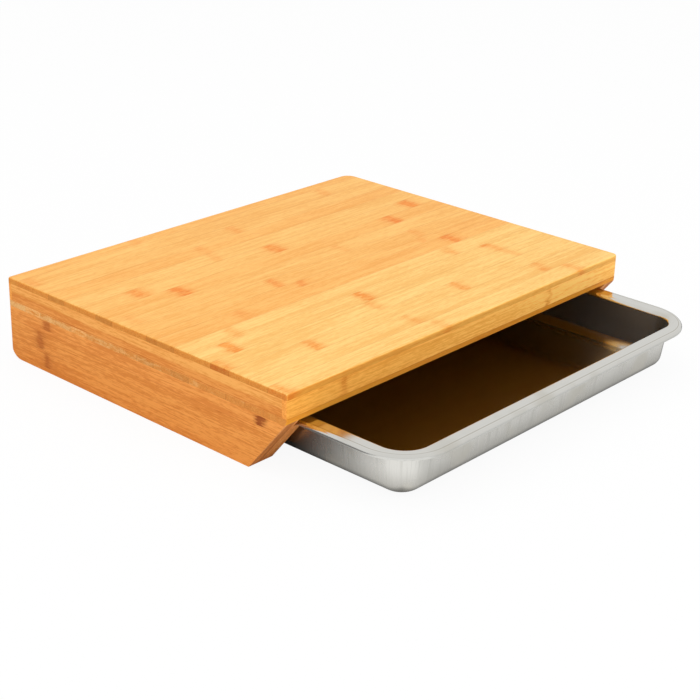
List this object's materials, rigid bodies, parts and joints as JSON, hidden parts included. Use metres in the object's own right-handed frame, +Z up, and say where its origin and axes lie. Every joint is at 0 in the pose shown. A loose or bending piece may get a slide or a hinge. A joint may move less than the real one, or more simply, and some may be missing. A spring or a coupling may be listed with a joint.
{
  "type": "cutting board with sliding tray",
  "caption": "Laminated bamboo cutting board on two undercut side rails, with a flanged steel tray that slides out from under the plank to catch what is cut.",
  "frame": {"origin": "centre of the footprint of the board together with its partly drawn tray, on the table", "axes": "+Z up, +X along the long front edge, front towards -Y (the tray draws out along -Y)"},
  "size_m": [0.355, 0.359, 0.0606],
  "materials": {
    "bamboo_face": "oiled bamboo, satin",
    "bamboo_core": "oiled bamboo, satin",
    "bamboo_rail": "oiled bamboo, satin",
    "tray_steel": "satin pressed stainless steel"
  },
  "bodies": {
    "board": {"back_lipping": "bamboo_face", "back_rail": "bamboo_rail", "bottom_strip_01": "bamboo_core", "bottom_strip_02": "bamboo_core", "bottom_strip_03": "bamboo_core", "bottom_strip_04": "bamboo_core", "bottom_strip_05": "bamboo_core", "bottom_strip_06": "bamboo_core", "bottom_strip_07": "bamboo_core", "bottom_strip_08": "bamboo_core", "bottom_strip_09": "bamboo_core", "bottom_strip_10": "bamboo_core", "bottom_strip_11": "bamboo_core", "bottom_strip_12": "bamboo_core", "bottom_strip_13": "bamboo_core", "bottom_strip_14": "bamboo_core", "bottom_strip_15": "bamboo_core", "bottom_strip_16": "bamboo_core", "core_strip_01": "bamboo_core", "core_strip_02": "bamboo_core", "core_strip_03": "bamboo_core", "core_strip_04": "bamboo_core", "core_strip_05": "bamboo_core", "core_strip_06": "bamboo_core", "core_strip_07": "bamboo_core", "core_strip_08": "bamboo_core", "core_strip_09": "bamboo_core", "core_strip_10": "bamboo_core", "core_strip_11": "bamboo_core", "core_strip_12": "bamboo_core", "core_strip_13": "bamboo_core", "core_strip_14": "bamboo_core", "core_strip_15": "bamboo_core", "core_strip_16": "bamboo_core", "core_strip_17": "bamboo_core", "core_strip_18": "bamboo_core", "front_lipping": "bamboo_face", "left_rail": "bamboo_rail", "left_runner": "bamboo_rail", "right_rail": "bamboo_rail", "right_runner": "bamboo_rail", "top_strip_01": "bamboo_face", "top_strip_02": "bamboo_face", "top_strip_03": "bamboo_face", "top_strip_04": "bamboo_face", "top_strip_05": "bamboo_face", "top_strip_06": "bamboo_face", "top_strip_07": "bamboo_face", "top_strip_08": "bamboo_face", "top_strip_09": "bamboo_face", "top_strip_10": "bamboo_face", "top_strip_11": "bamboo_face", "top_strip_12": "bamboo_face", "top_strip_13": "bamboo_face", "top_strip_14": "bamboo_face", "top_strip_15": "bamboo_face", "top_strip_16": "bamboo_face", "top_strip_17": "bamboo_face"},
    "tray": {"tray": "tray_steel"}
  },
  "joints": [
    {"name": "tray_slide", "type": "slide", "parent": "board", "child": "tray", "axis": [0, -1, 0], "range_m": [-0.0845, 0.172]}
  ]
}
